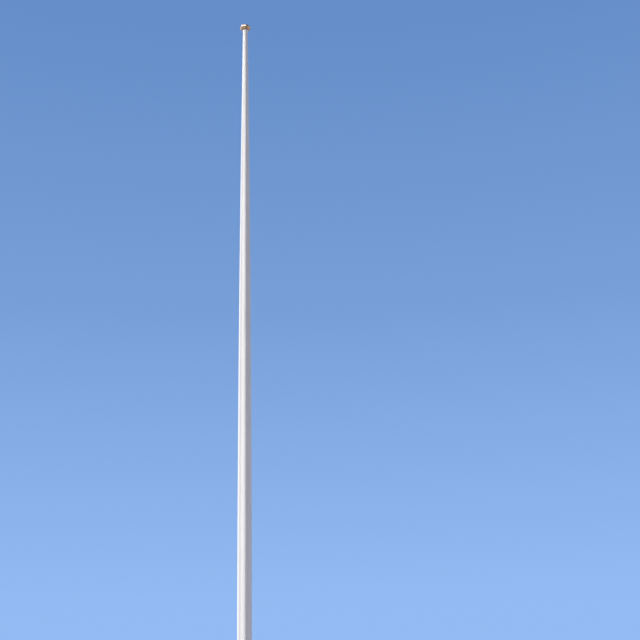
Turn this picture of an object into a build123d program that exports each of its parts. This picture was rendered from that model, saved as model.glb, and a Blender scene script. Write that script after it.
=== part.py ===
from build123d import *
import os
from math import atan2, degrees, sqrt

# A flagpole of glass fibre, in one tapering piece, that stands in a galvanised steel foot.
# On its top a white truck turns on a spindle and carries a flattened gilded knob.
# Millimetres, +Z up. The origin is on the pole's axis, at the underside of the base plate.
# The halyard side, with the truck's sheave and the cleat, faces +Y.

# ---- whole pole ----
pole_height = 10000.0  # from the underside of the base plate to the top of the knob
foot_diameter = 148.0
top_diameter = 62.0
straight_height = 3100.0  # up to here the pole is a plain cylinder
foot_wall = 4.5
top_wall = 3.5

# ---- clearances ----
running_gap = 0.1  # radial, of a pin in its hole
seat_gap = 0.2  # between curved faces that bear on each other
bolt_gap = 0.5  # radial, of a bolt in its hole

# ---- base plate ----
plate_width = 320.0
plate_thickness = 16.0
plate_corner = 25.0
anchor_spacing = 250.0
plate_edge = 1.5
anchor_hole_diameter = 22.0

# ---- socket ----
socket_height = 500.0  # above the base plate
socket_wall = 7.0
socket_gap = 3.0  # radial, between the pole and the socket
drain_radius = 7.0
drain_angles = (45, 135, 225, 315)
gusset_height = 180.0
gusset_length = 62.0
gusset_thickness = 10.0
gusset_toe = 14.0
gusset_clip = 12.0

# ---- collar in the socket's mouth ----
collar_skirt = 50.0
collar_rim = 4.0  # how far it stands past the socket
collar_edge = 6.0
collar_height = 22.0
collar_lip = 3.0

# ---- bolt through the socket and the pole ----
bolt_diameter = 16.0
bolt_height = 330.0
bolt_head_width = 24.0  # across the flats
bolt_head_height = 10.0
nut_height = 13.0
bolt_end = 5.0  # past the nut
boss_diameter = 40.0
boss_height = 4.0

# ---- cleat ----
cleat_height = 1300.0
cleat_length = 160.0
cleat_width = 20.0
cleat_foot_length = 86.0
cleat_foot_width = 32.0
cleat_foot_thickness = 7.0
cleat_reach = 44.0  # from its flat back to the outside of the horns' ends
cleat_throat_reach = 27.0
cleat_waist = 64.0  # length of its waist, where the screws and the eye are
cleat_throat_depth = 4.0
throat_radius = 6.0
horn_end = 8.0
horn_rise = 5.0  # how far the horns' ends stand past their middle
horn_round = 3.0
cleat_screw_spacing = 40.0
cleat_screw_diameter = 6.5
cleat_sink_diameter = 12.6
cleat_eye_length = 18.0
cleat_eye_width = 12.0
pad_thickness = 3.0
pad_margin = 2.0

# ---- top plug and spindle ----
plug_flange = 8.0
plug_edge = 1.0
plug_depth = 90.0
spindle_diameter = 16.0
spindle_depth = 60.0  # down into the plug
spindle_head_diameter = 26.0
spindle_head_height = 8.0
washer_thickness = 2.0
washer_inset = 2.0

# ---- truck ----
truck_margin = 4.5  # how far its body reaches above and below the arm
truck_crown = 5.0  # radius of the truck's upper edge
counterbore_depth = 16.0
head_gap = 1.0  # radial, round the spindle's head
sheave_offset = 70.0  # from the pole's axis
sheave_diameter = 50.0
sheave_width = 14.0
sheave_side_gap = 1.0
groove_radius = 4.5
sheave_hub_diameter = 22.0
sheave_web = 3.0  # how deep each side is dished
axle_diameter = 8.0
axle_head_diameter = 14.0
axle_head_height = 2.5
cheek_thickness = 5.0
cheek_edge = 1.2
bridge_thickness = 4.0
line_room = 8.0  # between the bottom of the groove and the bridge

# ---- knob ----
knob_diameter = 128.0
knob_height = 68.0
knob_wall = 2.0
knob_flat_depth = 3.0  # how much of its lower pole is cut flat
knob_rim_radius = 22.0
seam_bevel = 0.3
knob_boss_diameter = 30.0
knob_boss_height = 22.0
seat_thickness = 4.0
stud_diameter = 12.0

# ---- worked out from the above ----
foot_radius = foot_diameter / 2
top_radius = top_diameter / 2
socket_bore = foot_radius + socket_gap
socket_radius = socket_bore + socket_wall
socket_top = plate_thickness + socket_height

sheave_radius = sheave_diameter / 2
groove_bottom = sheave_radius - groove_radius
cheek_gap = sheave_width + 2 * sheave_side_gap
arm_width = cheek_gap + 2 * cheek_thickness
arm_radius = groove_bottom + line_room + bridge_thickness
truck_height = 2 * (arm_radius + truck_margin)

knob_middle = pole_height - knob_height / 2
knob_foot = pole_height - knob_height + knob_flat_depth
truck_top = knob_foot - seat_thickness
truck_foot = truck_top - truck_height
washer_foot = truck_foot - washer_thickness
shaft_top = washer_foot - plug_flange
plug_foot = shaft_top - plug_depth
sheave_middle = truck_foot + truck_height / 2

os.makedirs("parts", exist_ok=True)


def save(piece, name):
    """Label a finished piece and write it as its own STEP file."""
    piece.label = name
    export_step(piece, f"parts/{name}.step")


# ---- base plate: four anchor holes near its corners ----
with BuildPart() as base_plate:
    with BuildSketch():
        RectangleRounded(plate_width, plate_width, plate_corner)
        with GridLocations(anchor_spacing, anchor_spacing, 2, 2):
            Circle(anchor_hole_diameter / 2, mode=Mode.SUBTRACT)
    extrude(amount=plate_thickness)
    chamfer(base_plate.faces().sort_by(Axis.Z)[-1].outer_wire().edges(), plate_edge)
save(base_plate.part, "base_plate")

# ---- socket: a tube with flat bosses for the cross bolt and drain notches in its lower edge ----
boss_face = socket_radius + boss_height
socket_floor = Plane.XY.offset(plate_thickness)
bolt_plane = Plane(origin=(0, 0, bolt_height), x_dir=(0, 1, 0), z_dir=(1, 0, 0))
with BuildPart() as base_socket:
    with BuildSketch(socket_floor):
        Circle(socket_radius)
    extrude(amount=socket_height)
    with BuildSketch(bolt_plane):
        Circle(boss_diameter / 2)
    extrude(amount=boss_face, both=True)
    with BuildSketch(socket_floor):
        Circle(socket_bore)
    extrude(amount=socket_height, mode=Mode.SUBTRACT)
    with BuildSketch(bolt_plane):
        Circle(bolt_diameter / 2 + bolt_gap)
    extrude(amount=boss_face, both=True, mode=Mode.SUBTRACT)
    for angle in drain_angles:
        outward = Vector(1, 0, 0).rotate(Axis.Z, angle)
        with BuildSketch(Plane(origin=(0, 0, plate_thickness), z_dir=outward)):
            Circle(drain_radius)
        extrude(amount=boss_face, mode=Mode.SUBTRACT)
save(base_socket.part, "base_socket")

# ---- gussets: between the socket and the plate, midway between the anchor holes ----
gusset_sides = {"right": 0, "back": 90, "left": 180, "front": 270}
for side, angle in gusset_sides.items():
    outward = Vector(1, 0, 0).rotate(Axis.Z, angle)
    sideways = outward.cross(Vector(0, 0, 1))
    upright = Plane(origin=(0, 0, plate_thickness), x_dir=outward, z_dir=sideways)
    gusset_end = socket_radius + gusset_length
    with BuildPart() as gusset:
        with BuildSketch(upright):
            with BuildLine():
                Polyline(
                    (socket_bore, gusset_clip),
                    (socket_radius, gusset_clip),
                    (socket_radius + gusset_clip, 0),
                    (gusset_end, 0),
                    (gusset_end, gusset_toe),
                    (socket_radius + gusset_toe, gusset_height),
                    (socket_bore, gusset_height),
                    close=True,
                )
            make_face()
        extrude(amount=gusset_thickness / 2, both=True)
        with BuildSketch(Plane.XY.offset(plate_thickness)):
            Circle(socket_radius + seat_gap)
        extrude(amount=gusset_height, mode=Mode.SUBTRACT)
    save(gusset.part, f"gusset_{side}")

# ---- collar: its skirt wedges the pole in the socket and its sloping top sheds the rain ----
collar_bore = foot_radius + seat_gap
with BuildPart() as wedge_collar:
    with BuildSketch(Plane.XZ):
        with BuildLine():
            Polyline(
                (collar_bore, socket_top - collar_skirt),
                (socket_bore - seat_gap, socket_top - collar_skirt),
                (socket_bore - seat_gap, socket_top),
                (socket_radius + collar_rim, socket_top),
                (socket_radius + collar_rim, socket_top + collar_edge),
                (collar_bore + collar_lip, socket_top + collar_height),
                (collar_bore, socket_top + collar_height),
                close=True,
            )
        make_face()
    revolve(axis=Axis.Z)
save(wedge_collar.part, "wedge_collar")

# ---- shaft: a hollow cylinder that runs into one long swelling taper ----
taper_middle = (straight_height + shaft_top) / 2
with BuildPart() as shaft:
    with BuildSketch(Plane.XZ):
        with BuildLine():
            Line((foot_radius, plate_thickness), (foot_radius, straight_height))
            Bezier(
                (foot_radius, straight_height),
                (foot_radius, taper_middle),
                (top_radius, shaft_top),
            )
            Line((top_radius, shaft_top), (top_radius - top_wall, shaft_top))
            Bezier(
                (top_radius - top_wall, shaft_top),
                (foot_radius - foot_wall, taper_middle),
                (foot_radius - foot_wall, straight_height),
            )
            Line((foot_radius - foot_wall, straight_height), (foot_radius - foot_wall, plate_thickness))
            Line((foot_radius - foot_wall, plate_thickness), (foot_radius, plate_thickness))
        make_face()
    revolve(axis=Axis.Z)
    with BuildSketch(bolt_plane):
        Circle(bolt_diameter / 2 + bolt_gap)
    extrude(amount=foot_diameter, both=True, mode=Mode.SUBTRACT)
save(shaft.part, "shaft")

# ---- cross bolt: its head bears on the left boss and its nut on the right one ----
with BuildPart() as cross_bolt:
    with BuildSketch(bolt_plane.offset(-boss_face - bolt_head_height)):
        RegularPolygon(bolt_head_width / 2, 6, major_radius=False)
    extrude(amount=bolt_head_height)
    with BuildSketch(bolt_plane.offset(-boss_face)):
        Circle(bolt_diameter / 2)
    extrude(amount=2 * boss_face + nut_height + bolt_end)
save(cross_bolt.part, "cross_bolt")

with BuildPart() as cross_nut:
    with BuildSketch(bolt_plane.offset(boss_face)):
        RegularPolygon(bolt_head_width / 2, 6, major_radius=False)
        Circle(bolt_diameter / 2 + running_gap, mode=Mode.SUBTRACT)
    extrude(amount=nut_height)
save(cross_nut.part, "cross_nut")

# ---- cleat: two horns along the pole, an eye through its waist and a screw on each side of it ----
cleat_back = foot_radius + pad_thickness
cleat_side = Plane(origin=(0, cleat_back, cleat_height), x_dir=(0, 1, 0), z_dir=(1, 0, 0))
cleat_face = Plane(origin=(0, cleat_back, cleat_height), x_dir=(-1, 0, 0), z_dir=(0, 1, 0))
waist = cleat_waist / 2
horn_middle = cleat_reach - horn_rise
throat_middle = (cleat_foot_thickness + cleat_throat_reach) / 2
horn_tip = cleat_length / 2
with BuildPart() as cleat:
    with BuildSketch(cleat_side) as outline:
        with BuildLine():
            Line((0, 0), (0, waist))
            Line((0, waist), (cleat_foot_thickness, waist))
            ThreePointArc(
                (cleat_foot_thickness, waist),
                (throat_middle, waist - cleat_throat_depth),
                (cleat_throat_reach, waist + cleat_throat_depth),
            )
            Line((cleat_throat_reach, waist + cleat_throat_depth), (cleat_reach - horn_end, horn_tip))
            Line((cleat_reach - horn_end, horn_tip), (cleat_reach, horn_tip))
            TangentArc((horn_middle, 0), (cleat_reach, horn_tip), tangent=(0, 1))
            mirror(about=Plane.XZ)
        make_face()
        tips = outline.vertices().group_by(Axis.Y)
        fillet(tips[0] + tips[-1], horn_end / 2 - 0.2)
        throats = outline.vertices().sort_by(lambda v: abs(v.X - cleat_throat_reach))[:2]
        fillet(throats, throat_radius)
    extrude(amount=cleat_width / 2, both=True)
    side_edges = cleat.edges().filter_by(Axis.X, reverse=True)
    clear_of_foot = cleat_back + cleat_foot_thickness + running_gap
    fillet(side_edges.filter_by_position(Axis.Y, clear_of_foot, cleat_back + cleat_reach), horn_round)
    with BuildSketch(cleat_face):
        RectangleRounded(cleat_foot_width, cleat_foot_length, cleat_foot_width / 2 - 1)
    extrude(amount=cleat_foot_thickness)
    with BuildSketch(cleat_side):
        with Locations(((cleat_foot_thickness + horn_middle) / 2, 0)):
            SlotOverall(cleat_eye_length, cleat_eye_width, rotation=90)
    extrude(amount=cleat_width / 2, both=True, mode=Mode.SUBTRACT)
    with Locations(cleat_face.offset(horn_middle)):
        with GridLocations(1, cleat_screw_spacing, 1, 2):
            CounterSinkHole(cleat_screw_diameter / 2, cleat_sink_diameter / 2)
save(cleat.part, "cleat")

with BuildPart() as cleat_pad:
    with BuildSketch(cleat_face):
        pad_width = cleat_foot_width + 2 * pad_margin
        RectangleRounded(pad_width, cleat_foot_length + 2 * pad_margin, pad_width / 2 - 1)
        with GridLocations(1, cleat_screw_spacing, 1, 2):
            Circle(cleat_screw_diameter / 2, mode=Mode.SUBTRACT)
    extrude(amount=-foot_radius)
    with BuildSketch(Plane.XY.offset(cleat_height - cleat_length)):
        Circle(foot_radius + seat_gap)
    extrude(amount=2 * cleat_length, mode=Mode.SUBTRACT)
save(cleat_pad.part, "cleat_pad")

# ---- top plug: a flanged plug bonded in the top of the shaft, which holds the spindle ----
with BuildPart() as top_plug:
    with BuildSketch(Plane.XY.offset(plug_foot)):
        Circle(top_radius - top_wall - running_gap)
    extrude(amount=plug_depth)
    with BuildSketch(Plane.XY.offset(shaft_top)):
        Circle(top_radius)
    extrude(amount=plug_flange)
    fillet(top_plug.edges().group_by(Axis.Z)[-1], plug_edge)
    with BuildSketch(Plane.XY.offset(washer_foot - spindle_depth)):
        Circle(spindle_diameter / 2 + running_gap)
    extrude(amount=spindle_depth, mode=Mode.SUBTRACT)
save(top_plug.part, "top_plug")

with BuildPart() as bearing_washer:
    with BuildSketch(Plane.XY.offset(washer_foot)):
        Circle(top_radius - washer_inset)
        Circle(spindle_diameter / 2 + running_gap, mode=Mode.SUBTRACT)
    extrude(amount=washer_thickness)
save(bearing_washer.part, "bearing_washer")

# ---- spindle: its head keeps the truck from lifting, inside the truck's counterbore ----
head_seat = truck_top - counterbore_depth
with BuildPart() as spindle:
    with BuildSketch(Plane.XY.offset(washer_foot - spindle_depth)):
        Circle(spindle_diameter / 2)
    extrude(amount=spindle_depth + washer_thickness + truck_height - counterbore_depth)
    with BuildSketch(Plane.XY.offset(head_seat)):
        Circle(spindle_head_diameter / 2)
    extrude(amount=spindle_head_height)
save(spindle.part, "spindle")

# ---- truck: a round body with an arm behind it, whose two cheeks and hood hold the sheave ----
sheave_plane = Plane(origin=(0, sheave_offset, sheave_middle), x_dir=(0, 1, 0), z_dir=(1, 0, 0))
slot_radius = arm_radius - bridge_thickness
slot_reach = sheave_offset - top_radius - bridge_thickness
with BuildPart() as truck_body:
    with BuildSketch(sheave_plane):
        Circle(arm_radius)
        Rectangle(sheave_offset, 2 * arm_radius, align=(Align.MAX, Align.CENTER))
    extrude(amount=arm_width / 2, both=True)
    side_edges = truck_body.faces().filter_by(Axis.X).edges()
    chamfer(side_edges.filter_by_position(Axis.Y, top_radius, sheave_offset + arm_radius), cheek_edge)
    with BuildSketch(Plane.XY.offset(truck_foot)):
        Circle(top_radius)
    extrude(amount=truck_height)
    fillet(truck_body.faces().sort_by(Axis.Z)[-1].edges(), truck_crown)
    with BuildSketch(sheave_plane):
        Circle(slot_radius)
        Rectangle(2 * slot_reach, 2 * arm_radius, align=(Align.CENTER, Align.MAX))
    extrude(amount=cheek_gap / 2, both=True, mode=Mode.SUBTRACT)
    with BuildSketch(sheave_plane):
        Circle(axle_diameter / 2 + running_gap)
    extrude(amount=arm_width, both=True, mode=Mode.SUBTRACT)
    with BuildSketch(Plane.XY.offset(truck_foot)):
        Circle(spindle_diameter / 2 + running_gap)
    extrude(amount=truck_height, mode=Mode.SUBTRACT)
    with BuildSketch(Plane.XY.offset(head_seat)):
        Circle(spindle_head_diameter / 2 + head_gap)
    extrude(amount=counterbore_depth, mode=Mode.SUBTRACT)
save(truck_body.part, "truck_body")

# ---- sheave: grooved for the halyard, dished on both sides, on a fixed axle ----
with BuildPart() as halyard_sheave:
    with BuildSketch(Plane((0, sheave_offset, sheave_middle))):
        with BuildLine():
            Polyline(
                (0, axle_diameter / 2 + running_gap),
                (sheave_width / 2, axle_diameter / 2 + running_gap),
                (sheave_width / 2, sheave_hub_diameter / 2),
                (sheave_width / 2 - sheave_web, sheave_hub_diameter / 2 + sheave_web),
                (sheave_width / 2 - sheave_web, groove_bottom - 2 * sheave_web),
                (sheave_width / 2, groove_bottom - sheave_web),
                (sheave_width / 2, sheave_radius),
                (groove_radius, sheave_radius),
            )
            RadiusArc((groove_radius, sheave_radius), (0, groove_bottom), groove_radius)
            mirror(about=Plane.YZ)
        make_face()
    revolve(axis=Axis((0, sheave_offset, sheave_middle), (1, 0, 0)))
save(halyard_sheave.part, "halyard_sheave")

with BuildPart() as sheave_axle:
    with BuildSketch(sheave_plane.offset(-arm_width / 2)):
        Circle(axle_diameter / 2)
    extrude(amount=arm_width)
    for end in (-1, 1):
        with BuildSketch(sheave_plane.offset(end * arm_width / 2)):
            Circle(axle_head_diameter / 2)
        extrude(amount=end * axle_head_height)
save(sheave_axle.part, "sheave_axle")

# ---- knob: a seat with a stud, and two spun shells that meet in a seam round the middle ----
# Its outline is an oval of two arcs that run into each other, a tight one at the rim and a
# wide one over the crown. The inside follows it at one wall's distance.
knob_radius = knob_diameter / 2
knob_frame = Plane(origin=(0, 0, knob_middle), x_dir=(1, 0, 0), z_dir=(0, -1, 0))
rim_middle = knob_radius - knob_rim_radius
crown_rise = knob_height / 2 - knob_rim_radius
crown_drop = (rim_middle**2 - crown_rise**2) / (2 * crown_rise)
crown_radius = knob_height / 2 + crown_drop
rim_inside_radius = knob_rim_radius - knob_wall
crown_inside_radius = crown_radius - knob_wall
rim_angle = degrees(atan2(crown_drop, rim_middle))
flat_level = knob_height / 2 - knob_flat_depth
seat_radius = sqrt(crown_radius**2 - (flat_level + crown_drop) ** 2)

with BuildPart() as knob_seat:
    with BuildSketch(Plane.XY.offset(truck_top)):
        Circle(seat_radius)
    extrude(amount=seat_thickness)
    with BuildSketch(Plane.XY.offset(knob_foot)):
        Circle(stud_diameter / 2)
    extrude(amount=knob_boss_height - knob_wall)
save(knob_seat.part, "knob_seat")

with BuildPart() as knob_upper:
    with BuildSketch(knob_frame):
        with BuildLine():
            rim = CenterArc((rim_middle, 0), knob_rim_radius, 0, rim_angle)
            crown = CenterArc((0, -crown_drop), crown_radius, rim_angle, 90 - rim_angle)
            rim_inside = CenterArc((rim_middle, 0), rim_inside_radius, 0, rim_angle)
            crown_inside = CenterArc((0, -crown_drop), crown_inside_radius, rim_angle, 90 - rim_angle)
            Line(rim @ 0, rim_inside @ 0)
            Line(crown @ 1, crown_inside @ 1)
        make_face()
    revolve(axis=Axis.Z)
    chamfer(knob_upper.edges().group_by(Axis.Z)[0].sort_by(SortBy.LENGTH)[-1], seam_bevel)
save(knob_upper.part, "knob_upper")

with BuildPart() as knob_lower:
    with BuildSketch(knob_frame):
        with BuildLine():
            rim = CenterArc((rim_middle, 0), knob_rim_radius, 0, -rim_angle)
            crown = CenterArc((0, crown_drop), crown_radius, -rim_angle, rim_angle - 90)
            rim_inside = CenterArc((rim_middle, 0), rim_inside_radius, 0, -rim_angle)
            crown_inside = CenterArc((0, crown_drop), crown_inside_radius, -rim_angle, rim_angle - 90)
            Line(rim @ 0, rim_inside @ 0)
            Line(crown @ 1, crown_inside @ 1)
        make_face()
        with Locations((0, -flat_level)):
            Rectangle(seat_radius, knob_wall, align=(Align.MIN, Align.MIN))
            Rectangle(knob_boss_diameter / 2, knob_boss_height, align=(Align.MIN, Align.MIN))
            Rectangle(knob_diameter, flat_level, align=(Align.MIN, Align.MIN), mode=Mode.INTERSECT)
            Rectangle(
                stud_diameter / 2 + running_gap,
                knob_height,
                align=(Align.MIN, Align.MIN),
                mode=Mode.SUBTRACT,
            )
    revolve(axis=Axis.Z)
    chamfer(knob_lower.edges().group_by(Axis.Z)[-1].sort_by(SortBy.LENGTH)[-1], seam_bevel)
save(knob_lower.part, "knob_lower")
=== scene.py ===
from math import cos, pi, radians, sin, tan
from random import Random

import bmesh
import bpy
from bpy.props import FloatProperty, FloatVectorProperty, PointerProperty
from mathutils import Matrix, Vector


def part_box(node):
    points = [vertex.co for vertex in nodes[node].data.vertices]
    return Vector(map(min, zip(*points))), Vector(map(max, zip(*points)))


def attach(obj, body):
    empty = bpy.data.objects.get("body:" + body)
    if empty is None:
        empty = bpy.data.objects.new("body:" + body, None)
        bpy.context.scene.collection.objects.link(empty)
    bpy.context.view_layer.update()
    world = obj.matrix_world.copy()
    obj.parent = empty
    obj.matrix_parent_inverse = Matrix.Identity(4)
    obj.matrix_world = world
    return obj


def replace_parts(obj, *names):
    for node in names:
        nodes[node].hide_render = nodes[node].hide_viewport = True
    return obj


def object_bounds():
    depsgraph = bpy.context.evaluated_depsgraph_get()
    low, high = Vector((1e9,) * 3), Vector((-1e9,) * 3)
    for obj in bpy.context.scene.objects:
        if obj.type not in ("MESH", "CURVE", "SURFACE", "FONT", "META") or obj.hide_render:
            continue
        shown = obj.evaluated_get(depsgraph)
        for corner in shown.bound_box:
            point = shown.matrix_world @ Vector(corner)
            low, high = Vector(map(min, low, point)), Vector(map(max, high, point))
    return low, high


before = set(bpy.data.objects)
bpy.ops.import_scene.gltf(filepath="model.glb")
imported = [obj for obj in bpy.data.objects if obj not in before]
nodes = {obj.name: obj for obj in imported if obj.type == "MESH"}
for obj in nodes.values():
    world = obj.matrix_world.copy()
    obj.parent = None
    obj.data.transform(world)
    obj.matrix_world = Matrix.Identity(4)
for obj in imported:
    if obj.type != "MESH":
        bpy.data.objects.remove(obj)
cad_low, cad_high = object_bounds()

bl_info = {
    "name": "Flagpole finish",
    "version": (1, 0, 0),
    "blender": (4, 5, 0),
    "location": "3D View > Sidebar > Flagpole",
    "description": "Finishes, welds, fastenings and a studio for a tapering flagpole in a steel foot",
    "category": "Object",
}

UP = Vector((0, 0, 1))
GUSSETS = ("gusset_front", "gusset_right", "gusset_back", "gusset_left")


def size(name, description, default):
    """A length that a user may change, in metres."""
    return FloatProperty(
        name=name, description=description, default=default, min=0.0, unit="LENGTH", precision=4
    )


def share(name, description, default, high=1.0):
    """A plain number from 0 up to the high one."""
    return FloatProperty(name=name, description=description, default=default, min=0.0, max=high)


def turn(name, description, default):
    """An angle, given in degrees and kept in radians."""
    return FloatProperty(name=name, description=description, default=radians(default), subtype="ANGLE")


def tint(name, description, default):
    """A linear colour."""
    return FloatVectorProperty(
        name=name, description=description, default=default, size=3, min=0.0, max=1.0, subtype="COLOR"
    )


# ---------------------------------------------------------------- what a user would change


class FlagpoleSizes(bpy.types.PropertyGroup):
    """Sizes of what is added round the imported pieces."""

    weld_leg: size("Weld leg", "How far each fillet weld reaches along the plate and up the wall", 0.0065)
    weld_ripple: size("Weld ripple", "Distance from one ripple of a weld to the next", 0.0032)
    corner_clip: size("Gusset clip", "Cut corner of each gusset, which the ring weld passes through", 0.012)
    drain_gap: turn("Drain gap", "Half the angle that the ring weld leaves open at each drain notch", 7.0)
    thread_pitch: size("Thread pitch", "Pitch of the cross bolt's thread", 0.002)
    thread_depth: size("Thread depth", "Depth of the cross bolt's thread", 0.0011)
    thread_length: size("Thread length", "How much of the bolt is threaded, from its end", 0.038)
    hex_chamfer: turn("Hexagon chamfer", "Slope of the bevel on the bolt head and the nut", 30.0)
    edge_round: size("Edge rounding", "Rounding of the cut edges of the gussets", 0.0009)
    sealant_radius: size("Sealant", "Radius of the bead between the collar and the pole", 0.0022)
    screw_spacing: size("Cleat screws", "Distance between the cleat's two screws", 0.040)
    screw_head: size("Screw head", "Diameter of each countersunk head", 0.0118)
    screw_shank: size("Screw shank", "Diameter of each cleat screw", 0.006)
    screw_key: size("Screw key", "Size of the hexagon socket in each screw head, across the flats", 0.004)
    horn_rise: size("Horn rise", "How far the ends of the cleat's horns stand past its middle", 0.005)
    rivet_dome: size("Rivet dome", "Height of the domed ends of the sheave's axle", 0.0022)


class FlagpoleColours(bpy.types.PropertyGroup):
    """Colours of the finishes."""

    gelcoat: tint("Gelcoat", "White gelcoat of the pole", (0.80, 0.79, 0.77))
    streaks: tint("Streaks", "Dirt that the rain draws down the white finishes", (0.34, 0.32, 0.28))
    enamel: tint("Enamel", "White stoved enamel of the truck and the plug", (0.79, 0.78, 0.76))
    gilding: tint("Gilding", "Polished gilding of the knob", (0.76, 0.53, 0.36))
    gilding_worn: tint("Worn gilding", "Gilding where the weather has thinned it", (0.34, 0.21, 0.14))
    zinc: tint("Zinc", "Hot-dip zinc of the steel foot", (0.44, 0.46, 0.48))
    zinc_bloom: tint("White bloom", "Pale corrosion of the zinc where water stands", (0.66, 0.67, 0.66))
    earth: tint("Earth", "Splashed soil on the lowest parts", (0.23, 0.19, 0.14))
    bolt: tint("Bolt", "Zinc-plated steel of the cross bolt", (0.50, 0.51, 0.53))
    stainless: tint("Stainless", "Steel of the screws, the spindle and the axle", (0.58, 0.58, 0.59))
    aluminium: tint("Aluminium", "Cast aluminium of the cleat", (0.56, 0.57, 0.58))
    collar: tint("Collar", "Black plastic of the collar", (0.022, 0.022, 0.024))
    dust: tint("Dust", "Dust on black plastic and rubber", (0.20, 0.19, 0.17))
    rubber: tint("Rubber", "Black rubber of the pad under the cleat", (0.018, 0.018, 0.018))
    nylon: tint("Nylon", "Black nylon of the sheave", (0.020, 0.020, 0.022))
    bearing: tint("Bearing", "Cream acetal of the bearing washer", (0.62, 0.60, 0.52))


class FlagpoleStage(bpy.types.PropertyGroup):
    """The studio: floor, backdrop, lamps and camera."""

    floor: tint("Floor", "Pale floor", (0.37, 0.357, 0.352))
    backdrop_low: tint("Backdrop, low", "Colour of the backdrop near the floor", (0.296, 0.497, 0.896))
    backdrop_middle: tint("Backdrop, middle", "Colour of the backdrop half-way up", (0.188, 0.347, 0.687))
    backdrop_high: tint("Backdrop, high", "Colour of the backdrop high up", (0.133, 0.271, 0.578))
    fill: tint("Fill", "Soft light from all round", (0.305, 0.315, 0.41))
    key_strength: share("Key strength", "Power of the soft key light", 3.4, 20.0)
    key_softness: turn("Key softness", "Apparent width of the key light", 12.0)
    key_colour: tint("Key colour", "Warm white of both lamps", (1.0, 0.965, 0.91))
    key_side: turn("Key side", "How far left of the camera the key light stands", 81.0)
    key_rise: turn("Key height", "How high the key light stands", 48.0)
    back_strength: share("Back strength", "Power of the soft light behind the pole", 1.8, 20.0)
    back_softness: turn("Back softness", "Apparent width of the light behind the pole", 35.0)
    back_side: turn("Back side", "How far left of the camera the light behind the pole stands", 186.0)
    back_rise: turn("Back height", "How high the light behind the pole stands", 22.0)
    disc_brightness: share("Disc", "Power of the soft disc that gloss mirrors for the key light", 12.0, 50.0)
    disc_side: turn("Disc side", "How far left of the camera the disc stands", 99.0)
    disc_rise: turn("Disc height", "How high the disc stands", 47.0)
    disc_middle: turn("Disc, middle", "How far from its centre the disc has its full power", 4.0)
    disc_edge: turn("Disc, edge", "How far from its centre the disc has faded out", 15.0)
    panel: tint("Panels", "Colour of the disc and the two panels that gloss mirrors", (1.0, 0.975, 0.93))
    panel_top: turn("Panels, top edge", "How high both panels fade out", 42.0)
    front_brightness: share("Front panel", "Power of the panel behind the camera", 5.0, 20.0)
    front_right: turn("Front panel, right edge", "How far left of the camera it starts", -15.0)
    front_left: turn("Front panel, left edge", "How far left of the camera it ends", 72.0)
    side_brightness: share("Side panel", "Power of the panel far to the left", 1.2, 20.0)
    side_right: turn("Side panel, right edge", "How far left of the camera it starts", 94.0)
    side_left: turn("Side panel, left edge", "How far left of the camera it ends", 170.0)
    panel_fade: turn("Panels, fade", "How far in from its edges each panel reaches its full power", 16.0)
    camera_distance: size("Camera distance", "From the pole's axis to the camera", 11.04)
    camera_height: size("Camera height", "Height of the camera, at a standing person's eye", 1.636)
    camera_turn: turn("Camera turn", "How far right of the pole the camera points", 4.277)
    camera_tilt: turn("Camera tilt", "How far up the camera points", 21.906)
    camera_roll: turn("Camera roll", "How far the camera leans", -1.521)
    lens: share("Lens", "Focal length in millimetres", 60.8, 500.0)


def sizes():
    return bpy.context.scene.flagpole_sizes


def colours():
    return bpy.context.scene.flagpole_colours


def studio():
    return bpy.context.scene.flagpole_stage


# ---------------------------------------------------------------- shader maths


class Value:
    """A socket that can be added, multiplied and so on, which adds the Math nodes it needs."""

    def __init__(self, graph, socket):
        self.graph, self.socket = graph, socket

    def __add__(self, other):
        return self.graph.maths("ADD", self, other)

    def __sub__(self, other):
        return self.graph.maths("SUBTRACT", self, other)

    def __mul__(self, other):
        return self.graph.maths("MULTIPLY", self, other)

    def __pow__(self, other):
        return self.graph.maths("POWER", self, other)

    def __rsub__(self, other):
        return self.graph.maths("SUBTRACT", other, self)

    def __neg__(self):
        return self.graph.maths("MULTIPLY", self, -1.0)

    def __abs__(self):
        return self.graph.maths("ABSOLUTE", self)

    __radd__, __rmul__ = __add__, __mul__

    def held(self):
        """The value kept between 0 and 1."""
        return self.graph.maths("ADD", self, 0.0, clamp=True)

    def most(self, other):
        return self.graph.maths("MAXIMUM", self, other)

    def rise(self, start, end):
        """A smooth step: 0 below start, 1 above end. It falls where end is below start."""
        inputs = {"Value": self, "From Min": start, "From Max": end}
        return self.graph.add("MapRange", inputs, interpolation_type="SMOOTHSTEP")


def takes_colour(socket):
    """Whether a socket's own value has red, green, blue and alpha."""
    return hasattr(socket.default_value, "__len__") and len(socket.default_value) == 4


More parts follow.
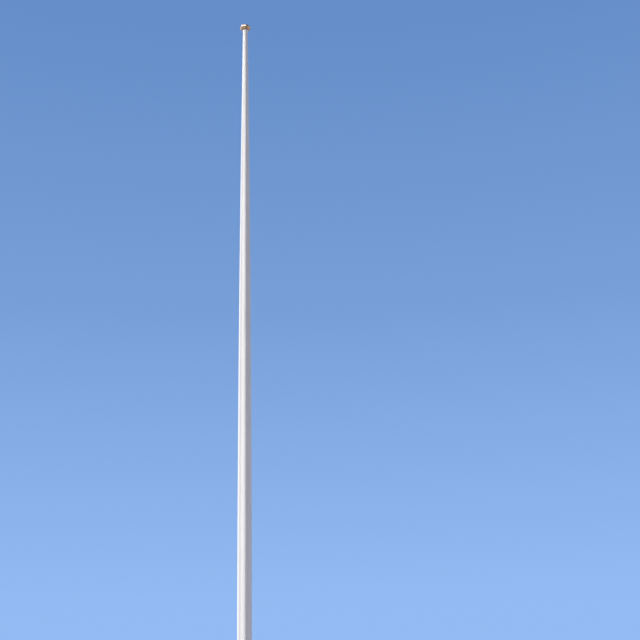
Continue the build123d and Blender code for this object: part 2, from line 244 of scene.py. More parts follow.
class Graph:
    """A node tree with one short way to add any node."""

    def __init__(self, tree):
        self.tree = tree
        tree.nodes.clear()

    def add(self, kind, inputs=None, out=0, stops=None, **settings):
        """Adds a node with its settings, then its inputs, and gives its output as a Value."""
        node = self.tree.nodes.new("ShaderNode" + kind)
        for key, setting in settings.items():
            setattr(node, key, setting)
        if stops:
            elements = node.color_ramp.elements
            while len(elements) < len(stops):
                elements.new(1.0)
            for element, (position, colour) in zip(elements, stops):
                element.position, element.color = position, (*colour, 1.0)
        for key, value in (inputs or {}).items():
            if isinstance(value, Value):
                self.tree.links.new(value.socket, node.inputs[key])
            elif takes_colour(node.inputs[key]):
                node.inputs[key].default_value = (*value[:3], 1.0)
            else:
                node.inputs[key].default_value = value
        return Value(self, node.outputs[out])

    def maths(self, operation, first, second=0.0, clamp=False):
        return self.add("Math", {0: first, 1: second}, operation=operation, use_clamp=clamp)

    def seen_or_mirrored(self):
        """1 for what the eye sees, directly, in gloss or through glass, and 0 for light on other things."""
        path = self.add("LightPath").socket.node.outputs
        kinds = ("Camera", "Glossy", "Transmission")
        eye, gloss, glass = (Value(self, path[f"Is {kind} Ray"]) for kind in kinds)
        return eye.most(gloss).most(glass)

    def blend(self, mask, first, second):
        """The first colour where the mask is 0, the second where it is 1."""
        return self.add("Mix", {0: mask, 6: first, 7: second}, out=2, data_type="RGBA", clamp_factor=True)

    def shade(self, colour, amount):
        """A colour made darker or lighter by a number or a Value."""
        return self.add("VectorMath", {0: colour, "Scale": amount}, operation="SCALE")

    def place(self, stretch=(1.0, 1.0, 1.0)):
        """The point on the piece in metres, with each axis multiplied."""
        here = self.add("TexCoord", out=3)
        return self.add("VectorMath", {0: here, 1: stretch}, operation="MULTIPLY")

    def apart(self, vector):
        """A vector's x, y and z."""
        return [Value(self, socket) for socket in self.add("SeparateXYZ", {0: vector}).socket.node.outputs]

    def axes(self):
        """The point's x, y and z in metres."""
        return self.apart(self.add("TexCoord", out=3))

    def facing_up(self):
        """1 on faces that look up, 0 on walls and undersides."""
        return self.apart(self.add("NewGeometry", out=1))[2].rise(0.25, 0.85)

    def noise(self, scale, detail=2.0, roughness=0.5, stretch=(1.0, 1.0, 1.0)):
        """Soft noise from 0 to 1. The scale is in features per metre."""
        inputs = {"Vector": self.place(stretch), "Scale": scale, "Detail": detail, "Roughness": roughness}
        return self.add("TexNoise", inputs)

    def cells(self, scale, out=0, feature="F1"):
        """Voronoi cells. The outputs are 0 for the distance and 1 for each cell's own colour."""
        return self.add("TexVoronoi", {"Vector": self.place(), "Scale": scale}, out=out, feature=feature)


class Finish(Graph):
    """A material whose shader is one Principled BSDF."""

    def __init__(self, name):
        self.material = bpy.data.materials.new(name)
        self.material.use_nodes = True
        super().__init__(self.material.node_tree)
        self.shader = self.tree.nodes.new("ShaderNodeBsdfPrincipled")
        output = self.tree.nodes.new("ShaderNodeOutputMaterial")
        self.tree.links.new(self.shader.outputs[0], output.inputs[0])

    def set(self, **values):
        """Sets or links the shader's sockets. Underscores stand for spaces."""
        for key, value in values.items():
            socket = self.shader.inputs[key.replace("_", " ")]
            if isinstance(value, Value):
                self.tree.links.new(value.socket, socket)
            elif takes_colour(socket):
                socket.default_value = (*value, 1.0)
            else:
                socket.default_value = value
        return self

    def relief(self, height, depth):
        """Height from 0 to 1 turned into relief of that depth, in metres."""
        self.set(Normal=self.add("Bump", {"Height": height, "Distance": depth, "Strength": 1.0}))
        return self


def finish_nodes(finish, *names):
    """Gives CAD nodes their finish. Their shapes stay as they are."""
    for name in names:
        nodes[name].material_slots[0].material = finish.material


# ---------------------------------------------------------------- finishes


def white_finish(name, colour, orange_peel, streak_share, gloss):
    """A glossy white coat with orange peel, faint rain streaks and a little dust."""
    look = Finish(name)
    height = look.axes()[2]
    fine = look.noise(260.0, 2.0)
    peel = look.noise(orange_peel, 1.0)
    patches = look.noise(3.0, 3.0, 0.6, (1.0, 1.0, 0.25))
    runs = look.noise(38.0, 3.0, 0.55, (1.0, 1.0, 0.018)).rise(0.55, 0.78)
    broken = look.noise(5.0, 2.0, 0.5, (1.0, 1.0, 0.4)).rise(0.38, 0.62)
    streaks = (runs * broken * streak_share).held()
    clean = look.shade(colour, 0.985 + patches * 0.03)
    splash = height.rise(1.1, 0.5) * look.noise(120.0, 4.0, 0.7).rise(0.60, 0.74) * 0.35
    dirt = (streaks + splash).held()
    look.set(
        Base_Color=look.blend(dirt, clean, colours().streaks),
        Roughness=(gloss + dirt * 0.35 + patches * 0.05 + fine * 0.02).held(),
        Coat_Weight=(0.7 - dirt * 0.6).held(),
        Coat_Roughness=0.09,
        IOR=1.5,
    )
    return look.relief(peel + fine * 0.06, 0.00012)


def zinc_finish():
    """Hot-dip zinc: crystals, runs, pale bloom, earth low down, and a dull grey where it looks up."""
    look = Finish("galvanised")
    height = look.axes()[2]
    crystal = look.add("SeparateColor", {0: look.cells(62.0, out=1)})
    grain = look.cells(190.0, feature="SMOOTH_F1")
    runs = look.noise(26.0, 3.0, 0.6, (1.0, 1.0, 0.12))
    cloud = look.noise(9.0, 4.0, 0.6)
    bloom = look.noise(34.0, 5.0, 0.7).rise(0.54, 0.68) * look.noise(6.0, 2.0).rise(0.42, 0.62)
    grit = look.noise(300.0, 5.0, 0.75).rise(0.5, 0.68)
    earth = (height.rise(0.30, 0.0) * 0.75 * grit * cloud.rise(0.3, 0.62)).held()
    dulled = look.facing_up() * (0.7 + cloud * 0.3)
    zinc = look.shade(colours().zinc, 0.82 + crystal * 0.22 + runs * 0.14 - dulled * 0.36)
    pale = look.blend(bloom * 0.6, zinc, colours().zinc_bloom)
    look.set(
        Base_Color=look.blend(earth, pale, colours().earth),
        Metallic=(0.92 - bloom * 0.55 - earth * 0.9 - dulled * 0.75).held(),
        Roughness=(0.34 + crystal * 0.16 + bloom * 0.25 + earth * 0.35 + dulled * 0.30).held(),
        Specular_IOR_Level=0.3,
    )
    return look.relief(runs * 0.5 + grain * 0.14 + grit * 0.10 + bloom * 0.2, 0.0006)


def gilding_finish():
    """Polished gilding with fine rubbing marks, water spots and thinner, redder patches."""
    look = Finish("gilding")
    thin = look.noise(17.0, 4.0, 0.6).rise(0.46, 0.58)
    rubbed = look.noise(420.0, 3.0, 0.65, (1.0, 1.0, 0.16))
    spots = look.cells(210.0).rise(0.30, 0.12) * look.noise(40.0, 2.0).rise(0.50, 0.66)
    rain = look.noise(70.0, 3.0, 0.6, (1.0, 1.0, 0.10)).rise(0.52, 0.75)
    look.set(
        Base_Color=look.blend(thin * 0.7 + spots * 0.3, colours().gilding, colours().gilding_worn),
        Metallic=1.0,
        Roughness=(0.06 + thin * 0.07 + rubbed * 0.06 + spots * 0.22 + rain * 0.05).held(),
    )
    return look.relief(rubbed * 0.2 + look.noise(30.0, 2.0), 0.00010)


def steel_finish(name, colour, roughness, spotted):
    """Bright steel with fine drawing marks and small dull spots."""
    look = Finish(name)
    marks = look.noise(900.0, 2.0, 0.6, (0.15, 1.0, 1.0))
    dull = look.noise(160.0, 4.0, 0.7).rise(0.52, 0.72)
    metal = look.shade(colour, 0.90 + marks * 0.2)
    look.set(
        Base_Color=look.blend(dull * spotted, metal, colours().zinc_bloom),
        Metallic=(1.0 - dull * spotted * 0.5).held(),
        Roughness=(roughness + marks * 0.10 + dull * spotted * 0.4).held(),
    )
    return look.relief(marks * 0.6 + dull * 0.2, 0.00006)


def cast_finish():
    """Sand-cast aluminium, with polished places where the line rubs it."""
    look = Finish("cleat_aluminium")
    low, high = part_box("cleat")
    middle = (low + high) / 2
    y, z = look.axes()[1:]
    sand = look.noise(1100.0, 4.0, 0.7)
    dimples = look.cells(700.0)
    from_middle = abs(z - middle.z)
    rubbed = from_middle.rise(0.028, 0.036) * from_middle.rise(0.066, 0.050)
    under_horns = rubbed * y.rise(high.y - 0.006, high.y - 0.016) * look.noise(60.0, 3.0).rise(0.25, 0.55)
    grey = look.noise(45.0, 4.0, 0.65).rise(0.42, 0.72) * (1.0 - under_horns)
    metal = look.shade(colours().aluminium, 0.86 + sand * 0.2 + under_horns * 0.3)
    look.set(
        Base_Color=look.blend(grey * 0.4, metal, colours().zinc),
        Metallic=(1.0 - grey * 0.25).held(),
        Roughness=(0.46 + grey * 0.16 - under_horns * 0.26).held(),
    )
    return look.relief((sand * 0.8 + dimples * 0.3) * (1.0 - under_horns * 0.8), 0.00035)


def moulded_finish(name, colour, grain, dust_share, roughness):
    """Moulded plastic or rubber: fine spark grain, scuffs and dust on whatever faces up."""
    look = Finish(name)
    spark = look.noise(grain, 3.0, 0.6)
    cloud = look.noise(24.0, 4.0, 0.65)
    scuffs = look.noise(90.0, 3.0, 0.7, (1.0, 1.0, 0.1)).rise(0.60, 0.72) * 0.25
    settled = (look.facing_up() * 0.8 + 0.12) * cloud.rise(0.25, 0.7) * dust_share
    dust = (settled + scuffs * dust_share).held()
    look.set(
        Base_Color=look.blend(dust, colour, colours().dust),
        Roughness=(roughness + dust * 0.35 + spark * 0.08).held(),
        IOR=1.49,
    )
    return look.relief(spark, 0.00022)


def sheave_finish():
    """Black nylon, polished by the line in the groove and dusty in the dished sides."""
    look = Finish("sheave_nylon")
    low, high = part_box("halyard_sheave")
    middle = (low + high) / 2
    x, y, z = look.axes()
    across, over = y - middle.y, z - middle.z
    radius = (across * across + over * over) ** 0.5
    outer = (high.z - low.z) / 2
    groove = abs(x).rise(0.0052, 0.0030) * radius.rise(outer - 0.009, outer - 0.004)
    turned = look.noise(1500.0, 2.0, 0.5, (1.0, 0.2, 0.2))
    dished = radius.rise(outer - 0.006, outer - 0.012)
    dust = (dished * look.noise(120.0, 4.0, 0.7).rise(0.4, 0.7) * 0.45).held()
    look.set(
        Base_Color=look.blend(dust, colours().nylon, colours().dust),
        Roughness=(0.42 + dust * 0.3 - groove * 0.24 + turned * 0.08).held(),
        IOR=1.53,
    )
    return look.relief(turned * (1.0 - groove), 0.00012)


# ---------------------------------------------------------------- meshes


def make_piece(name, mesh_maker, finish, corner=35.0):
    """Checks that a new piece is closed, then smooths and finishes it, and lets it ride with the flagpole.
    """
    mesh = bpy.data.meshes.new(name)
    bm = bmesh.new()
    mesh_maker(bm)
    bmesh.ops.recalc_face_normals(bm, faces=bm.faces)
    open_edges = sum(not edge.is_manifold for edge in bm.edges)
    if open_edges:
        raise RuntimeError(f"{name} has {open_edges} open edges")
    bm.to_mesh(mesh)
    bm.free()
    mesh.shade_smooth()
    mesh.set_sharp_from_angle(angle=radians(corner))
    mesh.materials.append(finish.material)
    piece = bpy.data.objects.new(name, mesh)
    bpy.context.scene.collection.objects.link(piece)
    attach(piece, "root")
    return piece


def skin(bm, rings, loop=False):
    """Joins rings of points with faces, one ring after another. In a loop the last joins the first,
    or else both ends are capped."""
    rows = [[bm.verts.new(point) for point in ring] for ring in rings]
    count = len(rows[0])
    for first, second in zip(rows, rows[1:] + rows[:1] if loop else rows[1:]):
        for i in range(count):
            j = (i + 1) % count
            bm.faces.new((first[i], first[j], second[j], second[i]))
    if not loop:
        bm.faces.new(rows[0][::-1])
        bm.faces.new(rows[-1])


def turns(steps):
    """Angles round a full turn."""
    return [2 * pi * i / steps for i in range(steps)]


def circle(place, radius, height, steps):
    """Points round the axis of a place, a matrix, at a height along it."""
    return [place @ Vector((radius * cos(a), radius * sin(a), height)) for a in turns(steps)]


def along(start, direction, across=None):
    """The matrix of a place at start whose z runs along direction."""
    z = Vector(direction).normalized()
    x = Vector(across) if across else z.orthogonal().normalized()
    return Matrix.Translation(start) @ Matrix((x, z.cross(x), z)).transposed().to_4x4()


def way_to(side, rise):
    """The direction of a place that far left of the camera and that far above the floor."""
    return Vector((-sin(side) * cos(rise), -cos(side) * cos(rise), sin(rise)))


def hexagon_radius(angle, flats):
    """How far a hexagon's side is from its middle at an angle. Its corners are at 0, 60 and so on."""
    within = (angle + pi / 6) % (pi / 3) - pi / 6
    return flats / 2 / cos(pi / 6 - abs(within))


def hexagon_rings(place, flats, bottom, top, slope, steps, bevel_bottom=False):
    """Rings up the side of a hexagon whose top corners, and bottom ones too if asked, are bevelled."""
    face_radius = flats / 2 * 0.96
    low, low_face, high, high_face = [], [], [], []
    for i in range(steps):
        angle = 2 * pi * i / steps
        radius = hexagon_radius(angle, flats)
        cut = max(0.0, radius - face_radius) * tan(slope)
        around = Vector((cos(angle), sin(angle), 0))
        low_face.append(place @ (around * face_radius + UP * bottom))
        low.append(place @ (around * radius + UP * (bottom + (cut if bevel_bottom else 0.0))))
        high.append(place @ (around * radius + UP * (top - cut)))
        high_face.append(place @ (around * face_radius + UP * top))
    return [low_face, low, high, high_face]


def weld_bead(bm, path, leg, ripple, draws):
    """A rippled fillet weld. The path gives, for each step, the root point, the way out along
    the plate, the way up the wall and the distance run."""
    across_steps = 9
    end_length, root_overlap, ripple_lag = leg * 0.8, 0.12, 0.42
    length = path[-1][3]
    rings = []
    for root, out, up, run in path:
        taper = min(1.0, (min(run, length - run) + 0.0006) / end_length)
        taper = taper**0.5
        wander = 1.0 + 0.05 * draws.uniform(-1, 1)
        ring = [root - (out + up) * leg * root_overlap]
        for i in range(across_steps + 1):
            part = i / across_steps
            angle = part * pi / 2
            lag = (1 - (2 * part - 1) ** 2) * ripple_lag
            phase = (run / ripple - lag) % 1.0
            crest = 0.055 * (1 - (2 * phase - 1) ** 2) - 0.03
            bulge = 1.0 + 0.13 * sin(pi * part)
            chord = 1 / (cos(angle) + sin(angle))
            reach = leg * taper * wander * chord * (bulge + crest * sin(pi * part) ** 0.5)
            ring.append(root + out * cos(angle) * reach + up * sin(angle) * reach)
        rings.append(ring)
    skin(bm, rings)


def path_along(points, ways_out, up, step):
    """A weld's path through corner points. It turns on the spot where the way out changes."""
    path, run = [], 0.0
    for i, (start, end) in enumerate(zip(points, points[1:])):
        out = Vector(ways_out[i])
        stretch = (end - start).length
        count = max(2, round(stretch / step))
        for k in range(count + 1):
            path.append((start.lerp(end, k / count), out, up, run + stretch * k / count))
        run += stretch
        if i + 1 < len(ways_out):
            following = Vector(ways_out[i + 1])
            for k in range(1, 8):
                path.append((end, out.slerp(following, k / 8), up, run + step * k / 4))
            run += 2 * step
    return path


# ---------------------------------------------------------------- operators


class FLAGPOLE_OT_finish_shaft(bpy.types.Operator):
    """Coats the shaft with glossy white gelcoat"""

    bl_idname = "flagpole.finish_shaft"
    bl_label = "Finish the shaft"

    def execute(self, context):
        finish_nodes(white_finish("gelcoat", colours().gelcoat, 75.0, 0.22, 0.20), "shaft")
        return {"FINISHED"}


class FLAGPOLE_OT_finish_top(bpy.types.Operator):
    """Finishes the plug, the bearing, the truck and the sheave"""

    bl_idname = "flagpole.finish_top"
    bl_label = "Finish the top fittings"

    def execute(self, context):
        enamel = white_finish("white_enamel", colours().enamel, 160.0, 0.45, 0.24)
        finish_nodes(enamel, "truck_body", "top_plug")
        finish_nodes(steel_finish("stainless", colours().stainless, 0.22, 0.10), "spindle")
        bearing = moulded_finish("bearing_plastic", colours().bearing, 900.0, 0.35, 0.38)
        finish_nodes(bearing, "bearing_washer")
        finish_nodes(sheave_finish(), "halyard_sheave")
        return {"FINISHED"}


class FLAGPOLE_OT_finish_knob(bpy.types.Operator):
    """Gilds the knob and its seat"""

    bl_idname = "flagpole.finish_knob"
    bl_label = "Gild the knob"

    def execute(self, context):
        finish_nodes(gilding_finish(), "knob_upper", "knob_lower", "knob_seat")
        return {"FINISHED"}


class FLAGPOLE_OT_finish_foot(bpy.types.Operator):
    """Galvanises the foot, rounds the cut edges of the gussets and finishes the collar"""

    bl_idname = "flagpole.finish_foot"
    bl_label = "Finish the foot"

    def execute(self, context):
        zinc = zinc_finish()
        finish_nodes(zinc, "base_plate", "base_socket")
        finish_nodes(moulded_finish("collar_plastic", colours().collar, 1300.0, 0.55, 0.42), "wedge_collar")
        for name in GUSSETS:

            def gusset(bm, packed=nodes[name].data):
                """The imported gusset, joined up and with whole flat faces, and its edges rounded."""
                bm.from_mesh(packed)
                one_point, flat, sharp = 0.00001, radians(1), radians(50)
                bmesh.ops.remove_doubles(bm, verts=bm.verts, dist=one_point)
                bmesh.ops.dissolve_limit(bm, angle_limit=flat, verts=bm.verts, edges=bm.edges)
                cut = [edge for edge in bm.edges if edge.calc_face_angle(0.0) > sharp]
                bmesh.ops.bevel(
                    bm,
                    geom=cut,
                    offset=sizes().edge_round,
                    segments=2,
                    profile=0.5,
                    affect="EDGES",
                    clamp_overlap=True,
                )

            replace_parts(make_piece(f"{name}_rounded", gusset, zinc, 15.0), name)
        return {"FINISHED"}


class FLAGPOLE_OT_finish_cleat(bpy.types.Operator):
    """Finishes the cleat and its pad, and puts in the two countersunk screws"""

    bl_idname = "flagpole.finish_cleat"
    bl_label = "Finish the cleat"

    def execute(self, context):
        finish_nodes(cast_finish(), "cleat")
        finish_nodes(moulded_finish("pad_rubber", colours().rubber, 800.0, 0.5, 0.62), "cleat_pad")
        low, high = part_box("cleat")
        steel = steel_finish("screw_steel", colours().stainless, 0.24, 0.12)
        face = high.y - sizes().horn_rise
        head, shank, key = sizes().screw_head / 2, sizes().screw_shank / 2, sizes().screw_key
        key_depth, steps = 0.0022, 48
        for name, side in (("cleat_screw_lower", -1), ("cleat_screw_upper", 1)):
            centre = Vector((0, face, (low.z + high.z) / 2 + side * sizes().screw_spacing / 2))
            place = along(centre, (0, 1, 0))

            def screw(bm, place=place):
                """A countersunk screw with a hexagon socket."""
                rings = []
                for radius, height in (
                    (shank * 0.8, low.y - face - 0.008),
                    (shank, low.y - face - 0.007),
                    (shank, shank - head + 0.0006),
                    (head - 0.0003, -0.0004),
                    (head, -0.0001),
                    (head - 0.0003, 0.0001),
                    (key * 0.68, 0.00012),
                ):
                    rings.append(circle(place, radius, height, steps))
                for scale, height in ((1.06, 0.0), (1.0, -0.0002), (1.0, -key_depth)):
                    ring = []
                    for a in turns(steps):
                        reach = hexagon_radius(a, key) * scale
                        ring.append(place @ Vector((reach * cos(a), reach * sin(a), height)))
                    rings.append(ring)
                drill_tip, drill_depth = 0.0005, -key_depth - 0.0007
                rings.append(circle(place, drill_tip, drill_depth, steps))
                skin(bm, rings)

            make_piece(name, screw, steel)
        return {"FINISHED"}


class FLAGPOLE_OT_add_welds(bpy.types.Operator):
    """Lays the fillet welds of the foot: round the socket and round each gusset"""

    bl_idname = "flagpole.add_welds"
    bl_label = "Add the welds"

    def execute(self, context):
        zinc = zinc_finish()
        leg, ripple = sizes().weld_leg, sizes().weld_ripple
        step = ripple / 7
        draws = Random(11)
        plate_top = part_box("base_plate")[1].z
        socket_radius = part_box("base_socket")[1].y
        gap = sizes().drain_gap
        root_depth = 0.0002

        def ring(bm):
            """Four runs round the socket, open at the drain notches."""
            for quarter in range(4):
                start, end = pi / 2 * quarter - pi / 4 + gap, pi / 2 * quarter + pi / 4 - gap
                length = (end - start) * socket_radius
                count = round(length / step)
                path = []
                for k in range(count + 1):
                    angle = start + (end - start) * k / count
                    out = Vector((cos(angle), sin(angle), 0))
                    root = out * (socket_radius - root_depth) + UP * plate_top
                    path.append((root, out, UP, length * k / count))
                weld_bead(bm, path, leg, ripple, draws)

        make_piece("socket_weld", ring, zinc, 50.0)
        for name in GUSSETS:
            low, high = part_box(name)
            middle = (low + high) / 2
            outward = Vector((middle.x, middle.y, 0)).normalized()
            aside = UP.cross(outward)
            half = min(high.x - low.x, high.y - low.y) / 2
            end = max(abs(low.x), abs(low.y), high.x, high.y)
            clear = socket_radius + sizes().corner_clip
            wall = (socket_radius**2 - (half + leg * 0.5) ** 2) ** 0.5

            def beads(
                bm, outward=outward, aside=aside, half=half, end=end, clear=clear, wall=wall, top=high.z
            ):
                """One run round the gusset's toe and one up each side of it."""
                corners = [
                    outward * clear + aside * half + UP * plate_top,
                    outward * end + aside * half + UP * plate_top,
                    outward * end - aside * half + UP * plate_top,
                    outward * clear - aside * half + UP * plate_top,
                ]
                toe = path_along(corners, (aside, outward, -aside), UP, step)
                weld_bead(bm, toe, leg * 0.9, ripple, draws)
                for side in (-1, 1):
                    foot = outward * wall + aside * side * half + UP * (plate_top + sizes().corner_clip)
                    short_of_top = 0.001
                    head = foot + UP * (top - plate_top - sizes().corner_clip - short_of_top)
                    run = path_along([foot, head], (outward,), aside * side, step)
                    weld_bead(bm, run, leg * 0.9, ripple, draws)

            make_piece(name.replace("gusset", "weld"), beads, zinc, 50.0)
        return {"FINISHED"}


class FLAGPOLE_OT_add_cross_bolt(bpy.types.Operator):
    """Replaces the plain cross bolt and nut with threaded, bevelled ones"""

    bl_idname = "flagpole.add_cross_bolt"
    bl_label = "Add the cross bolt and nut"

    def execute(self, context):
        steel = steel_finish("bolt_steel", colours().bolt, 0.30, 0.30)
        low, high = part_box("cross_bolt")
        nut_low, nut_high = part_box("cross_nut")
        centre = (low + high) / 2
        flats = high.z - low.z
        slope = sizes().hex_chamfer
        pitch, depth = sizes().thread_pitch, sizes().thread_depth
        socket_face = -nut_low.x
        steps = 96
        # The hexagon's corners point along y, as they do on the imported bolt.
        turned_to_x = Matrix((UP.cross((-1, 0, 0)) * -1, UP, (1, 0, 0))).transposed().to_4x4()
        place = Matrix.Translation((0, 0, centre.z)) @ turned_to_x
        bolt_radius = flats / 3

        def bolt(bm):
            """Head, plain shank and a thread that runs to the bevelled end."""
            flipped = place @ Matrix.Rotation(pi, 4, "X")
            rings = hexagon_rings(flipped, flats, -socket_face, -low.x, slope, steps)[::-1]
            turned = [ring[:1] + ring[:0:-1] for ring in rings]
            shank = []
            for along_x in (socket_face, high.x - sizes().thread_length):
                shank.append(circle(place, bolt_radius, along_x, steps))
            rows = round(sizes().thread_length / (pitch / 12))
            for row in range(1, rows + 1):
                along_x = high.x - sizes().thread_length * (1 - row / rows)
                started = min(1.0, (along_x - high.x + sizes().thread_length) / pitch)
                ring = []
                for a in turns(steps):
                    phase = (along_x / pitch - a / (2 * pi)) % 1.0
                    cut = min(1.0, max(0.0, 1.25 * (1 - abs(2 * phase - 1)) - 0.12))
                    radius = bolt_radius - 0.0001 - depth * cut * started
                    radius = min(radius, bolt_radius - depth * 1.4 + (high.x - along_x))
                    ring.append(place @ Vector((radius * cos(a), radius * sin(a), along_x)))
                shank.append(ring)
            skin(bm, turned + shank)

        def nut(bm):
            """Both faces bevelled, with a countersunk, threadless bore hidden by the bolt."""
            start, end = nut_low.x, nut_high.x
            outer = hexagon_rings(place, flats, start, end, slope, steps, bevel_bottom=True)
            bore, sink = bolt_radius + 0.0001, 0.001
            inner = []
            for radius, along_x in (
                (bore + sink, end),
                (bore, end - sink),
                (bore, start + sink),
                (bore + sink, start),
            ):
                inner.append(circle(place, radius, along_x, steps))
            skin(bm, outer + inner, loop=True)

        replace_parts(make_piece("cross_bolt_threaded", bolt, steel), "cross_bolt")
        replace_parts(make_piece("cross_nut_bevelled", nut, steel), "cross_nut")
        return {"FINISHED"}


class FLAGPOLE_OT_add_sheave_axle(bpy.types.Operator):
    """Replaces the plain axle of the sheave with a riveted one"""

    bl_idname = "flagpole.add_sheave_axle"
    bl_label = "Add the sheave's axle"

    def execute(self, context):
        low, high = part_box("sheave_axle")
        middle = (low + high) / 2
        head_stands_out = 0.0025
        half_arm = high.x - head_stands_out
        head = (high.z - low.z) / 2
        pin, washer, bearing_gap = 0.004, 0.0006, 0.00005
        dome = sizes().rivet_dome
        place = along(middle, (1, 0, 0), (0, 1, 0))

        def axle(bm):
            """A pin with a domed head at each end and a thin washer under each head."""
            profile = []
            for i in range(9):
                angle = pi / 2 * i / 8
                radius = max(0.0004, (head - 0.0012) * sin(angle))
                profile.append((radius, half_arm + washer + dome * cos(angle)))
            profile += [(head, half_arm + washer), (head, half_arm + bearing_gap), (pin, half_arm)]
            mirrored = [(radius, -height) for radius, height in profile[::-1]]
            skin(bm, [circle(place, radius, height, 56) for radius, height in profile + mirrored])

        steel = steel_finish("axle_steel", colours().stainless, 0.20, 0.10)
        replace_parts(make_piece("sheave_axle_riveted", axle, steel), "sheave_axle")
        return {"FINISHED"}


class FLAGPOLE_OT_add_sealant(bpy.types.Operator):
    """Runs a bead of sealant round the pole on top of the collar"""

    bl_idname = "flagpole.add_sealant"
    bl_label = "Add the sealant"

    def execute(self, context):
        collar_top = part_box("wedge_collar")[1].z
        pole_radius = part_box("shaft")[1].x
        tube = sizes().sealant_radius
        draws = Random(5)
        waves = [(draws.uniform(0, 2 * pi), draws.uniform(0.3, 1.0)) for _ in range(7)]

        def bead(bm):
            """A hand-tooled bead: slightly uneven, flat against the pole and the collar."""
            rings = []
            for a in turns(220):
                swell = sum(k * sin((3 + 2 * i) * a + p) for i, (p, k) in enumerate(waves))
                uneven = 1 + 0.06 * swell / 3
                out = Vector((cos(a), sin(a), 0))
                ring = []
                for b in turns(14):
                    across = tube * uneven * (0.9 + cos(b))
                    rise = tube * uneven * max(-0.25, sin(b)) * 1.1
                    ring.append(out * (pole_radius - 0.0001 + across * 0.9) + UP * (collar_top + rise))
                rings.append(ring)
            skin(bm, rings, loop=True)

        sealant = moulded_finish("sealant", colours().collar, 600.0, 0.8, 0.5)
        make_piece("sealant_bead", bead, sealant, 60.0)
        return {"FINISHED"}


class FLAGPOLE_OT_set_stage(bpy.types.Operator):
    """Sets up the floor, the backdrop, the lamps and the camera"""

    bl_idname = "flagpole.set_stage"
    bl_label = "Set the stage"

    def execute(self, context):
        self.lay_floor()
        self.hang_backdrop(context)
        self.place_lamps()
        self.place_camera(context)
        return {"FINISHED"}

    def lay_floor(self):
        """A wide pale floor just under the base plate."""
        look = Finish("stage_floor")
        look.set(Base_Color=studio().floor, Roughness=0.9)
        mesh = bpy.data.meshes.new("stage_floor")
        bm = bmesh.new()
        bmesh.ops.create_circle(bm, cap_ends=True, segments=96, radius=400.0)
        bm.to_mesh(mesh)
        bm.free()
        mesh.materials.append(look.material)
        floor = bpy.data.objects.new("stage_floor", mesh)
        floor.location.z = cad_low.z - 0.001
        bpy.context.scene.collection.objects.link(floor)

    def hang_backdrop(self, context):
        """A plain backdrop that pales towards the floor, for the eye, gloss and glass. Everything else
        gets the soft fill. Gloss also mirrors a soft disc and two panels, which the eye doesn't see."""
        world = bpy.data.worlds.new("stage_backdrop")
        world.use_nodes = True
        context.scene.world = world
        sky = Graph(world.node_tree)
        direction = sky.add("TexCoord", out=0)
        east, north, upward = sky.apart(direction)
        stage = studio()
        graded = sky.add(
            "ValToRGB",
            {0: upward},
            stops=[
                (0.12, stage.backdrop_low),
                (0.38, stage.backdrop_middle),
                (0.60, stage.backdrop_high),
            ],
        )
        shown = sky.blend(sky.seen_or_mirrored(), stage.fill, graded)
        gloss = Value(sky, sky.add("LightPath").socket.node.outputs["Is Glossy Ray"])
        toward_left = sky.maths("ARCTAN2", -east, -north)
        rise = sky.maths("ARCSINE", upward)

        def panel(right, left, brightness):
            """The power of a panel between two ways round from the camera, with soft edges."""
            fade = stage.panel_fade
            return toward_left.rise(right, right + fade) * toward_left.rise(left, left - fade) * brightness

        front = panel(stage.front_right, stage.front_left, stage.front_brightness)
        side = panel(stage.side_right, stage.side_left, stage.side_brightness)
        dark_below, full_above, top_fade = -0.02, 0.05, 0.07
        height = rise.rise(dark_below, full_above) * rise.rise(stage.panel_top, stage.panel_top - top_fade)
        centre = way_to(stage.disc_side, stage.disc_rise)
        nearness = sky.add("VectorMath", {0: direction, 1: centre}, out=1, operation="DOT_PRODUCT")
        disc = nearness.rise(cos(stage.disc_edge), cos(stage.disc_middle)) * stage.disc_brightness
        glow = sky.shade(stage.panel, ((front + side) * height + disc) * gloss)
        lit = sky.add("VectorMath", {0: shown, 1: glow}, operation="ADD")
        background = sky.add("Background", {"Color": lit, "Strength": 1.0})
        output = sky.tree.nodes.new("ShaderNodeOutputWorld")
        sky.tree.links.new(background.socket, output.inputs["Surface"])

    def place_lamps(self):
        """A soft key from the left and a softer light behind the pole."""
        stage = studio()
        self.place_lamp("key", stage.key_strength, stage.key_softness, stage.key_side, stage.key_rise)
        self.place_lamp("back", stage.back_strength, stage.back_softness, stage.back_side, stage.back_rise)

    def place_lamp(self, name, strength, softness, side, rise):
        """A distant lamp. Gloss mirrors the backdrop's disc and panels in its place."""
        light = bpy.data.lights.new(name, "SUN")
        light.energy, light.angle, light.color = strength, softness, studio().key_colour
        lamp = bpy.data.objects.new(name, light)
        lamp.visible_glossy = False
        lamp.rotation_euler = way_to(side, rise).to_track_quat("Z", "Y").to_euler()
        bpy.context.scene.collection.objects.link(lamp)

    def place_camera(self, context):
        """Looks up at the pole from a standing person's height."""
        stage = studio()
        turned, tilted, rolled = stage.camera_turn, stage.camera_tilt, stage.camera_roll
        forward = Vector((sin(turned) * cos(tilted), cos(turned) * cos(tilted), sin(tilted)))
        level = forward.cross(UP).normalized()
        over = level.cross(forward)
        right = level * cos(rolled) + over * sin(rolled)
        top = over * cos(rolled) - level * sin(rolled)
        data = bpy.data.cameras.new("camera")
        data.lens, data.sensor_width = stage.lens, 36.0
        data.clip_end = 2000.0
        camera = bpy.data.objects.new("camera", data)
        stand = Matrix.Translation((0, -stage.camera_distance, stage.camera_height))
        camera.matrix_world = stand @ Matrix((right, top, -forward)).transposed().to_4x4()
        context.scene.collection.objects.link(camera)
        context.scene.camera = camera
        context.scene.view_settings.view_transform = "Standard"


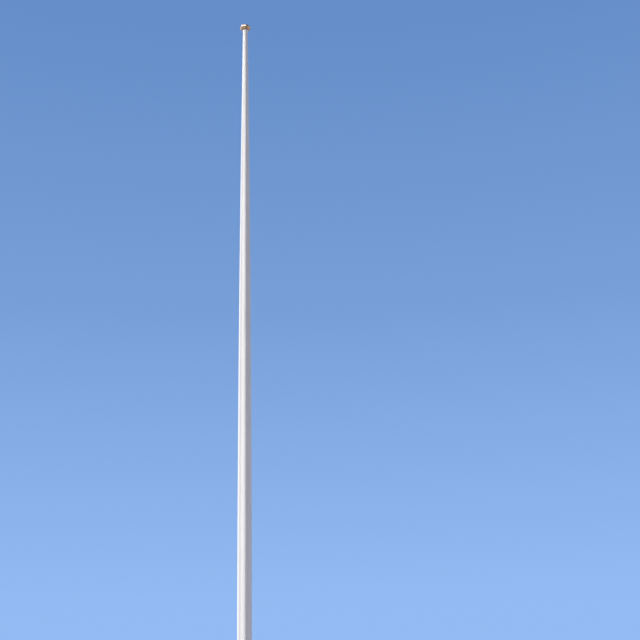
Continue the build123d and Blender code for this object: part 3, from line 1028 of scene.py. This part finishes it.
class FLAGPOLE_PT_panel(bpy.types.Panel):
    """Lists the steps that finish the flagpole"""

    bl_idname = "FLAGPOLE_PT_panel"
    bl_label = "Flagpole"
    bl_space_type = "VIEW_3D"
    bl_region_type = "UI"
    bl_category = "Flagpole"

    def draw(self, context):
        for operator in STEPS:
            self.layout.operator(operator.bl_idname)
        for group in (sizes(), colours(), studio()):
            box = self.layout.box()
            for key in group.__annotations__:
                box.prop(group, key)


STEPS = (
    FLAGPOLE_OT_finish_shaft,
    FLAGPOLE_OT_finish_top,
    FLAGPOLE_OT_finish_knob,
    FLAGPOLE_OT_finish_foot,
    FLAGPOLE_OT_finish_cleat,
    FLAGPOLE_OT_add_welds,
    FLAGPOLE_OT_add_cross_bolt,
    FLAGPOLE_OT_add_sheave_axle,
    FLAGPOLE_OT_add_sealant,
    FLAGPOLE_OT_set_stage,
)
GROUPS = (FlagpoleSizes, FlagpoleColours, FlagpoleStage)


def register():
    for cls in (*GROUPS, *STEPS, FLAGPOLE_PT_panel):
        bpy.utils.register_class(cls)
    bpy.types.Scene.flagpole_sizes = PointerProperty(type=FlagpoleSizes)
    bpy.types.Scene.flagpole_colours = PointerProperty(type=FlagpoleColours)
    bpy.types.Scene.flagpole_stage = PointerProperty(type=FlagpoleStage)


def unregister():
    del bpy.types.Scene.flagpole_sizes, bpy.types.Scene.flagpole_colours, bpy.types.Scene.flagpole_stage
    for cls in (FLAGPOLE_PT_panel, *STEPS, *GROUPS):
        bpy.utils.unregister_class(cls)


def main():
    """Runs every step in order."""
    register()
    bpy.ops.flagpole.finish_shaft()
    bpy.ops.flagpole.finish_top()
    bpy.ops.flagpole.finish_knob()
    bpy.ops.flagpole.finish_foot()
    bpy.ops.flagpole.finish_cleat()
    bpy.ops.flagpole.add_welds()
    bpy.ops.flagpole.add_cross_bolt()
    bpy.ops.flagpole.add_sheave_axle()
    bpy.ops.flagpole.add_sealant()
    bpy.ops.flagpole.set_stage()


if __name__ == "__main__":
    main()
